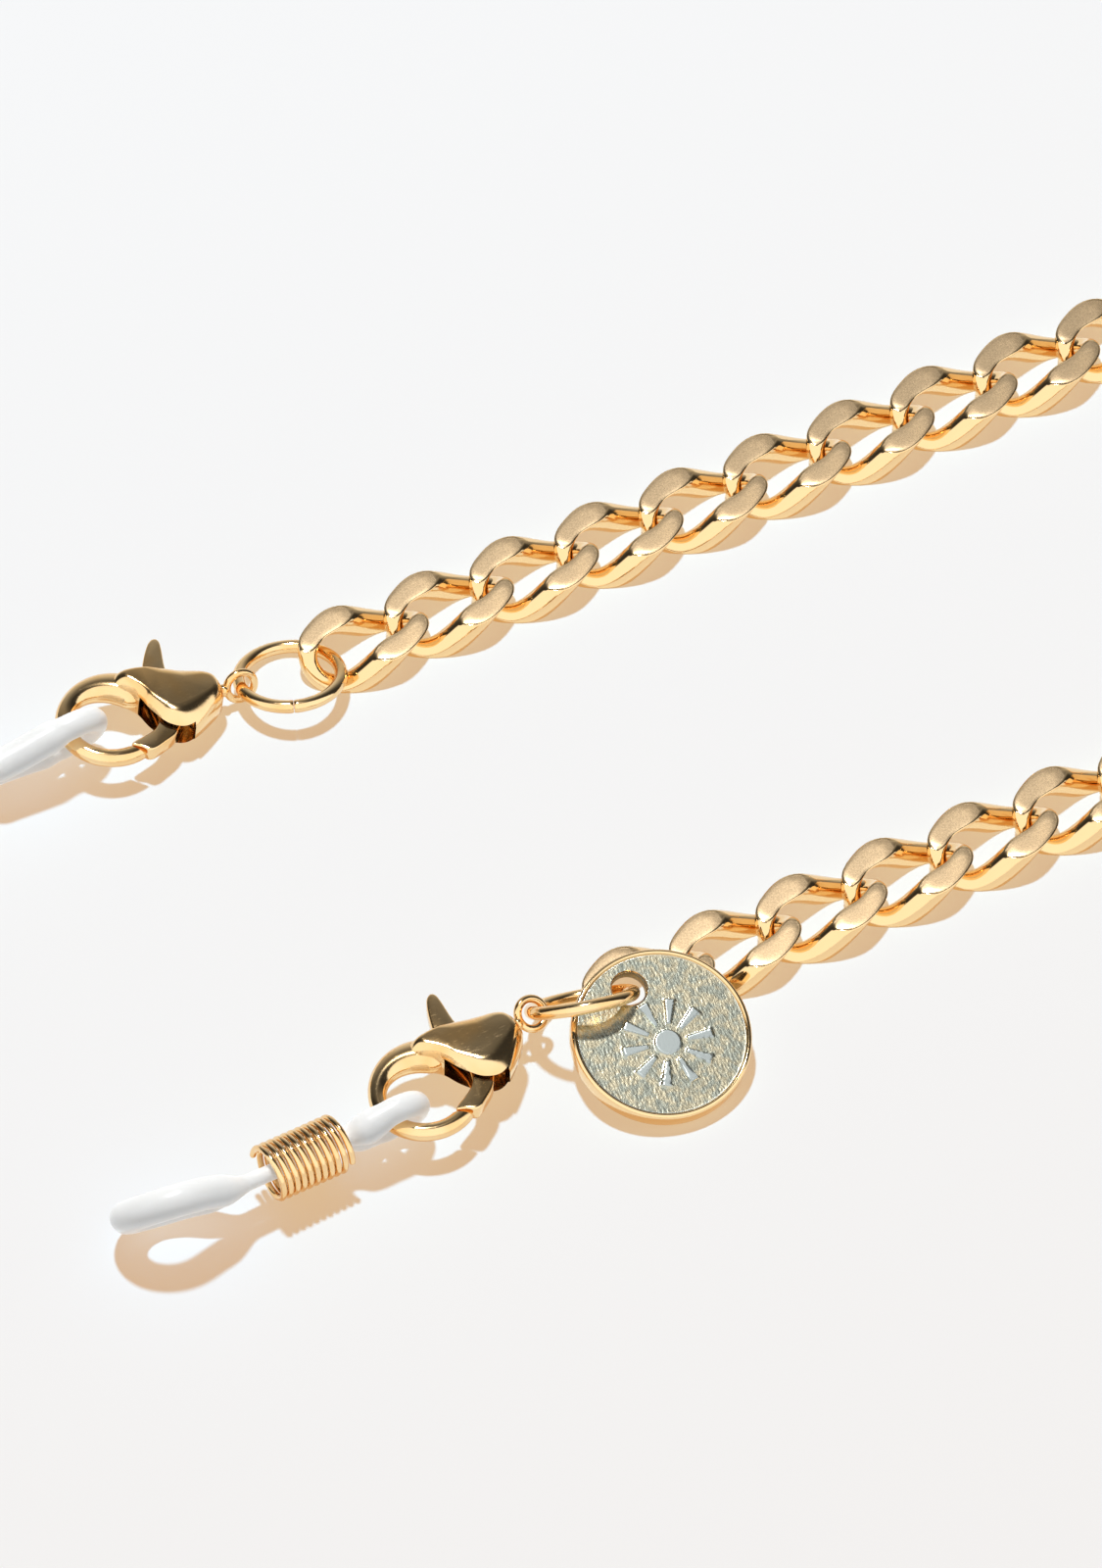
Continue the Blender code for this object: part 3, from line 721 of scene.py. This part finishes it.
CASING_OUTLINE = outline_mm(
    (0.35, -0.9), (2, -2), (4.2, -2.95), (6.6, -3.3), (7.1, -2.4), (6.1, -0.9),
    (5.7, 0.8), (5, 2.3), (3.7, 2.95), (1.8, 2.1), (0.35, 0.9),
)
SLOT_OUTLINE = outline_mm(
    (0.75, -0.8), (1.15, -1.2), (0.9, -4.2), (4.9, -4.2), (5.05, -1.7),
    (6.2, -0.4), (7.2, 4.2), (3.6, 4.2), (3.1, 2.2), (2.5, 1.95), (1.75, 1.75), (1.6, 1.3), (0.75, 0.8),
)
LEVER_OUTLINE = outline_mm(
    (2.5, -5.2), (3.3, -5.3), (4.7, -3.1), (4.8, -1.6), (5, 0.5), (5.9, 1.9), (7.87, 2.55),
    (7.42, 3.1), (6.85, 3.6), (5.9, 3.35), (4.6, 2.7), (3.2, 1), (2.95, -0.4), (3.1, -2.6),
)
SPINE = outline_mm((1.3, 0.0), (3.9, 0.1), (4.8, -0.9), (5.4, -2.3))


# %% Smooth outlines, plates and domes
def smooth_outline(knots, steps):
    """A closed curve through the knots."""
    points = []
    for k in range(len(knots)):
        a, b, c, d = (knots[(k + shift) % len(knots)] for shift in (-1, 0, 1, 2))
        for t in np.arange(steps) / steps:
            pull = (2 * a - 5 * b + 4 * c - d) * t * t + (3 * b - a - 3 * c + d) * t**3
            points.append(b + ((c - a) * t + pull) / 2)
    return np.array(points)


def nearest_on(path, points):
    """The nearest point of a path of straight pieces to each point."""
    best = np.full(len(points), 1e9)
    found = points.copy()
    for a, b in zip(path[:-1], path[1:]):
        share = np.clip((points - a) @ (b - a) / ((b - a) @ (b - a)), 0, 1)[:, None]
        foot = a + share * (b - a)
        far = np.linalg.norm(points - foot, axis=1)
        closer = far < best
        best[closer] = far[closer]
        found[closer] = foot[closer]
    return found


def domed_rows(outline, spine, profile):
    """Rings of the outline, drawn in towards the spine. profile holds (share drawn in, height)."""
    home = nearest_on(spine, outline)
    rings = []
    for share, z in profile:
        rings.append(np.column_stack([outline + (home - outline) * share, np.full(len(outline), z)]))
    return np.array(rings)


def plate_rows(outline, half_height, rounding, steps=4):
    """Rings of a flat plate whose edges are rounded."""
    ahead = unit(np.roll(outline, -1, 0) - np.roll(outline, 1, 0))
    inwards = np.column_stack([-ahead[:, 1], ahead[:, 0]])
    area = np.sum(outline[:, 0] * np.roll(outline[:, 1], -1) - outline[:, 1] * np.roll(outline[:, 0], -1))
    inwards *= np.sign(area)
    turn = np.linspace(0, math.pi / 2, steps)
    top = [(rounding * (1 - math.cos(a)), half_height - rounding + rounding * math.sin(a)) for a in turn]
    profile = [(inset, -z) for inset, z in top[::-1]] + top
    rings = [np.column_stack([outline + inwards * inset, np.full(len(outline), z)]) for inset, z in profile]
    return np.array(rings)


def tool(name, rows):
    """A closed mesh for a Boolean."""
    return skin(name, rows, False, POLISHED)


def prism_rows(outline, half_height):
    ends = (-half_height, half_height)
    return np.array([np.column_stack([outline, np.full(len(outline), z)]) for z in ends])


def rod_rows(radius, half_length, steps=32):
    turn = np.arange(steps) * 2 * math.pi / steps
    return prism_rows(np.column_stack([radius * np.cos(turn), radius * np.sin(turn)]), half_length)


def combine(base, *steps):
    """Applies Booleans to the base object. Each step is an operation and a tool, which is used up."""
    for operation, cutter in steps:
        modifier = base.modifiers.new(operation, "BOOLEAN")
        modifier.operation = operation
        modifier.object = cutter
    bpy.context.view_layer.update()
    mesh = bpy.data.meshes.new_from_object(base.evaluated_get(bpy.context.evaluated_depsgraph_get()))
    name = base.name
    for used in [base] + [cutter for _, cutter in steps]:
        bpy.data.objects.remove(used, do_unlink=True)
    mesh.name = name
    return mesh


# %% Casing and hook
WAIST_SHARE = 0.35  # how much of the half thickness is straight
DRAWN_IN = 0.62  # how far the crown is drawn in towards the spine


def dome_profile(levels):
    """Straight at the waist, then rounding over to a crown."""
    rise = [(0.0, WAIST_SHARE * CLASP_HALF)]
    for k in range(1, levels + 1):
        lift = math.sin(0.5 * math.pi * k / levels)
        rise.append((DRAWN_IN * (k / levels) ** 1.25, (WAIST_SHARE + (1 - WAIST_SHARE) * lift) * CLASP_HALF))
    return [(share, -z) for share, z in rise[::-1]] + rise


def hook_rows():
    steps = 84
    line = level_arc(HOOK_CENTRE, HOOK_RADIUS, -140, 112, steps)
    share = np.linspace(0, 1, steps)
    root = 1 - ease(share / 0.42)
    radius = HOOK_WIRE / 2 + 0.62 * MM * root
    flatten = 1 - 0.24 * root
    return wire_rows(line, radius, (0, 0, 1), 32, False, flatten)


def casing_mesh():
    drop = domed_rows(smooth_outline(CASING_OUTLINE, 10), SPINE, dome_profile(9))
    shell = skin("casing", drop, False, POLISHED)
    sector = np.vstack([[PIVOT.x, PIVOT.y], level_arc(PIVOT, GATE_REACH, 15, 75, 24)[:, :2]])
    bent = tool("hook", hook_rows())
    bent_mesh = combine(bent, ("DIFFERENCE", tool("gate_sector", prism_rows(sector, 4 * MM))))
    hook = shown("hook", bent_mesh, POLISHED)
    pin_bore = tool("pin_bore", rod_rows(0.62 * MM, 1.4 * MM) + np.array(PIVOT))
    bore = tool("stem_bore", rod_rows(0.5 * MM, 1.5 * MM)[..., [2, 1, 0]])
    slot = tool("slot", prism_rows(SLOT_OUTLINE, SLOT_HEIGHT / 2))
    cuts = [("DIFFERENCE", cutter) for cutter in (slot, pin_bore, bore)]
    return combine(shell, ("UNION", hook), *cuts)


casing = casing_mesh()
print("casing", len(casing.polygons), "faces")

# %% Lever, pin, spring and eye
SPRING_LINE = outline_mm((2.42, 0.1), (2.55, 0.8), (2.35, 1.45), (2.15, 1.75))


def lever_mesh():
    plate = plate_rows(smooth_outline(LEVER_OUTLINE, 8), 0.6 * MM, 0.16 * MM)
    blank = skin("lever", plate, False, POLISHED)
    bore = tool("lever_bore", rod_rows(0.62 * MM, 1.2 * MM) + np.array(PIVOT))
    return combine(blank, ("DIFFERENCE", bore))


def turned_rows(profile, steps):
    """Rings of a turned piece about Z. profile holds (radius, height) from the bottom to the top."""
    turn = np.arange(steps) * 2 * math.pi / steps
    x, y = np.cos(turn), np.sin(turn)
    return np.array([np.column_stack([r * x, r * y, np.full(steps, z)]) for r, z in profile])


def pin_rows():
    profile = outline_mm((0.30, -1.2), (0.42, -1.08), (0.42, 1.08), (0.30, 1.2))
    return turned_rows(profile, 32) + np.array(PIVOT)


def spring_rows():
    knots = np.column_stack([SPRING_LINE, np.zeros(len(SPRING_LINE))])
    at = np.linspace(0, 3, 37)
    line = np.column_stack([np.polyval(np.polyfit(range(4), knots[:, k], 3), at) for k in range(3)])
    return wire_rows(line, 0.14 * MM, (0, 0, 1), 14, False)


def eye_mesh(end):
    """Ring, neck and head. The ring's plane is read from the CAD piece's points beyond the casing."""
    points = np.array([v.co for v in frame["nodes"][end + "_clasp_swivel_eye"].data.vertices], float)
    local = np.array([CLASPS[end].inverted() @ Vector(p) for p in points])
    ring_points = local[local[:, 0] < -1.0 * MM]
    axis = np.linalg.svd(ring_points - ring_points.mean(0), full_matrices=False)[2][2]
    place = stand(Vector((-EYE_BACK, 0, 0)), Vector((1, 0, 0)), Vector(axis))
    ring_line = level_arc((0, 0), 1.02 * MM, 0, 352.5, 48)
    ring = skin(end + "_eye", wire_rows(ring_line, 0.28 * MM, (0, 0, 1), 20, True), True, POLISHED)
    ring.data.transform(place)
    profile = outline_mm(
        (0.2, -0.40), (0.34, -0.32), (0.44, -0.16), (0.44, 0.02), (0.30, 0.16), (0.28, 0.3),
        (0.28, 1.0), (0.42, 1.12), (0.57, 1.35), (0.6, 1.55), (0.52, 1.85), (0.3, 2.08), (0.1, 2.14),
    )
    stem = tool("stem", turned_rows(profile, 28)[..., [2, 1, 0]])
    return combine(ring, ("UNION", stem))


lever = lever_mesh()
for end in ENDS:
    place = CLASPS[end]
    body = end + "_clasp"
    cast = shown(end + "_casing_and_hook", casing.copy(), POLISHED, sharp_deg=42)
    settle(cast, body, end + "_clasp_casing", place)
    gate = shown(end + "_gate_and_thumb_tab", lever.copy(), POLISHED, sharp_deg=42)
    settle(gate, end + "_lever", end + "_clasp_lever", place)
    pin = skin(end + "_hinge_pin", pin_rows(), False, STEEL)
    settle(pin, body, end + "_clasp_pin", place)
    spring = skin(end + "_gate_spring", spring_rows(), False, STEEL)
    settle(spring, body, end + "_clasp_spring", place)
    eye = shown(end + "_swivel_eye", eye_mesh(end), POLISHED, sharp_deg=50)
    settle(eye, end + "_eye", end + "_clasp_swivel_eye", place)
print("two clasps")

# %% [markdown]
# ## Silicone loop
# The loop is one closed ring of soft tube. It is stretched round the hook, so it is thinner there, and the
# grip squeezes both strands at the waist. Its line comes from a few widths, blended smoothly,
# and the skin over it thins and swells with them.

# %% Silicone loop
TUBE_RADIUS = 1.1 * MM
BEND_TUBE = 0.9 * MM
WAIST_TUBE = 0.55 * MM
BEND_RADIUS = 1.85 * MM
WAIST_HALF = 0.72 * MM
LOOP_END = 19.3 * MM
GRIP_LENGTH = 10.5 * 0.52 * MM + 1.5 * MM
LOOP_SIZES = {"upper": (7.6 * MM, 2.2 * MM, 0.0), "lower": (4.1 * MM, 2.75 * MM, 19.0)}


def loop_line(grip_start, temple_half, turn_deg):
    """The loop's middle line and the tube's radius along it."""
    grip_end = grip_start + GRIP_LENGTH
    temple = LOOP_END - temple_half
    side = np.linspace(0, temple, 110)[1:]
    drawn_in = BEND_RADIUS + (WAIST_HALF - BEND_RADIUS) * ease(side / (grip_start - 0.4 * MM))
    width = drawn_in + (temple_half - WAIST_HALF) * ease((side - grip_end) / (temple - grip_end))
    bend = np.radians(np.linspace(180, 90, 20))
    round_end = np.radians(np.linspace(90, 0, 25))[1:]
    x = np.concatenate([BEND_RADIUS * np.cos(bend), side, temple + temple_half * np.cos(round_end)])
    y = np.concatenate([BEND_RADIUS * np.sin(bend), width, temple_half * np.sin(round_end)])
    x = np.concatenate([x, x[-2:0:-1]])
    y = np.concatenate([y, -y[-2:0:-1]])
    lean = np.radians(70.0 - 13.0 * ease(x / grip_start))
    past = np.maximum(0, x - grip_end)
    drift = -past * np.tan(math.radians(turn_deg) * ease(past / (4 * MM)) / 2)
    line = np.column_stack([x, drift + y * np.cos(lean), y * np.sin(lean)])
    swell = np.minimum(ease((x - 0.6 * MM) / (1.4 * MM)), ease((grip_start - 0.2 * MM - x) / (1.6 * MM)))
    low = BEND_TUBE + (WAIST_TUBE - BEND_TUBE) * ease((x - 0.3 * grip_start) / (0.4 * grip_start))
    before = low + (TUBE_RADIUS - low) * swell
    after = WAIST_TUBE + (TUBE_RADIUS - WAIST_TUBE) * ease((x - grip_end) / (2.5 * MM))
    return line, np.where(x < grip_start, before, after)


for end in ENDS:
    line, radius = loop_line(*LOOP_SIZES[end])
    plane_up = np.linalg.svd(line - line.mean(0), full_matrices=False)[2][2]
    loop = skin(end + "_temple_loop", wire_rows(line, radius, plane_up, 36, True), True, SILICONE)
    settle(loop, end + "_loop", end + "_silicone_loop", LOOPS[end])
print("two silicone loops")

# %% [markdown]
# ## Wound grip
# The grip is a close-wound spring of gold wire. It slides along the loop and holds it on the glasses'
# temple by squeezing the strands. A helix is worked out by a loop, and its cut ends are left round.

# %% Grip coils
GRIP_TURNS = 10.5
GRIP_PITCH = 0.52 * MM
GRIP_RADIUS = 1.84 * MM
GRIP_WIRE = 0.44 * MM
for end in ENDS:
    turn = np.arange(int(GRIP_TURNS * 48) + 1) * 2 * math.pi / 48
    along = GRIP_PITCH * turn / (2 * math.pi)
    line = np.column_stack([along, GRIP_RADIUS * np.cos(turn), GRIP_RADIUS * np.sin(turn)])
    wound = wire_rows(line, GRIP_WIRE / 2, (1, 0, 0), 14, False)
    coil = skin(end + "_wound_grip", wound, False, POLISHED)
    start = LOOPS[end] @ Matrix.Translation((LOOP_SIZES[end][0], 0, 0))
    settle(coil, end + "_grip", end + "_grip_coil", start)
print("two grips of", GRIP_TURNS, "turns")

# %% [markdown]
# ## Disc charm
# The charm is struck from flat stock: a polished rim, a sunk blasted face and a raised plain sunburst.
# It is turned from a profile, with so many points on the face that the sunburst can be raised by moving
# them. A Boolean then punches the hole, whose edge is eased so that the ring doesn't catch.

# %% Disc
DISC_RADIUS = 6.1 * MM
DISC_HALF = 0.75 * MM
RIM = 0.6 * MM
RECESS = 0.2 * MM
HOLE_RADIUS = 1.15 * MM
HOLE_OFFSET = 3.85 * MM
RAYS = 10
RAY_FROM, RAY_TO = 1.3 * MM, 3.2 * MM
BURST_SHIFT = 0.75 * MM  # away from the hole


def disc_profile():
    face = [(r * MM, DISC_HALF - RECESS) for r in np.arange(0.04, 5.64, 0.06)]
    rim = outline_mm(
        (5.70, 0.56), (5.74, 0.64), (5.79, 0.71), (5.85, 0.75),
        (5.93, 0.74), (6.02, 0.69), (6.08, 0.6), (6.1, 0.48),
    )
    top = face + [tuple(point) for point in rim]
    return [(r, -z) for r, z in top] + top[::-1]


def sunburst(r, turn):
    """Height of the raised sunburst, from 0 to 1."""
    spread = np.abs((turn * RAYS / (2 * math.pi) + 0.5) % 1 - 0.5) * 2 * math.pi / RAYS * r
    half = 0.18 * MM + 0.12 * (r - RAY_FROM)
    length = ease((r - RAY_FROM) / (0.1 * MM)) * ease((RAY_TO - r) / (0.12 * MM))
    boss = ease((0.95 * MM - r) / (0.1 * MM))
    return np.maximum(ease((half - spread) / (0.09 * MM)) * length, boss)


rows = turned_rows(disc_profile(), 240)
r = np.hypot(rows[..., 0], rows[..., 1])
burst_x = rows[..., 0] + BURST_SHIFT
raised = sunburst(np.hypot(burst_x, rows[..., 1]), np.arctan2(rows[..., 1], burst_x))
rows[..., 2] += np.sign(rows[..., 2]) * raised * 0.17 * MM
blasted = (r < 5.66 * MM) * (1 - raised * 0.5)
blank = skin("disc", rows, False, SATIN, blasted)
spool = outline_mm(
    (1.45, -0.9), (1.32, -0.62), (1.17, -0.42), (1.15, -0.2),
    (1.15, 0.2), (1.17, 0.42), (1.32, 0.62), (1.45, 0.9),
)
hole = tool("hole", turned_rows(spool, 48) + np.array((HOLE_OFFSET, 0, 0)))
hole.data.materials.clear()
disc = shown("round_charm", combine(blank, ("DIFFERENCE", hole)), SATIN, sharp_deg=50)
settle(disc, "disc", "disc_charm", round_place("disc_charm"))
print("disc", len(disc.data.polygons), "faces")

# %% [markdown]
# ## Floor and light
# Gold shows its surroundings, so the room is part of the finish. A broad bright ceiling behind the camera
# draws the cream bands. A dark band in front, high up, draws the brown ones, and it pales towards the
# horizon, which shades the filed flats. One small lamp almost overhead casts the short crisp shadows.
# The floor glows a little warm by itself, so its shadows come out tan. The glow is painted light, standing in
# for the warm light that the gold throws into them, and the floor's bluish colour turns it back to a neutral
# white where the lamp falls.
# The room only shows in the metal: if it also lit the floor, it would wash the shadows out.

# %% Floor
floor_mesh = bpy.data.meshes.new("studio_floor")
EXTENT = 3.0
corners = [(x * EXTENT, y * EXTENT, 0) for x, y in ((-1, -1), (1, -1), (1, 1), (-1, 1))]
floor_mesh.from_pydata(corners, [], [(0, 1, 2, 3)])
# Painted shade: the warm emission paints the floor's shadows tan, and the bluish base colour evens the lit
# floor out to white.
floor_finish, floor_shader, floor_place = new_finish(
    "studio_floor",
    Base_Color=(0.215, 0.405, 0.555, 1.0),
    Roughness=0.9,
    Specular_IOR_Level=0.0,
    Emission_Color=(0.66, 0.43, 0.25, 1.0),
    Emission_Strength=1.0,
)
floor_mesh.materials.append(floor_finish)
floor = bpy.data.objects.new("studio_floor", floor_mesh)
bpy.context.scene.collection.objects.link(floor)

# %% Light
KEY_HEADING, KEY_ELEVATION = 85.0, 74.0
key_data = bpy.data.lights.new("key_lamp", "AREA")
key_data.shape = "DISK"
key_data.size = 0.07
key_data.energy = 12.2
key = bpy.data.objects.new("key_lamp", key_data)
bpy.context.scene.collection.objects.link(key)
key_way = towards(KEY_HEADING, KEY_ELEVATION)
key.location = LOOK_AT + key_way
key.rotation_euler = key_way.to_track_quat("Z", "Y").to_euler()

world = bpy.data.worlds.new("studio")
bpy.context.scene.world = world
world.use_nodes = True
tree = world.node_tree
way = Wire(tree.nodes.new("ShaderNodeTexCoord").outputs["Generated"])
ahead = towards(HEADING_DEG, 0)
front = way.node("VectorMath", {"operation": "DOT_PRODUCT"}, {0: way, 1: tuple(ahead)}, output=1)
STOPS = ((0.0, 1.0), (0.48, 1.0), (0.53, 0.03), (0.68, 0.025), (0.80, 0.075), (0.90, 0.25), (1.0, 0.6))
shade = front.node("ValToRGB", {"stops": STOPS}, {"Fac": front * 0.5 + 0.5})
tree.links.new(shade.socket, tree.nodes["Background"].inputs["Color"])
tree.nodes["Background"].inputs["Strength"].default_value = 1.25
world.cycles_visibility.diffuse = False
print("key lamp", key_data.energy, "W")
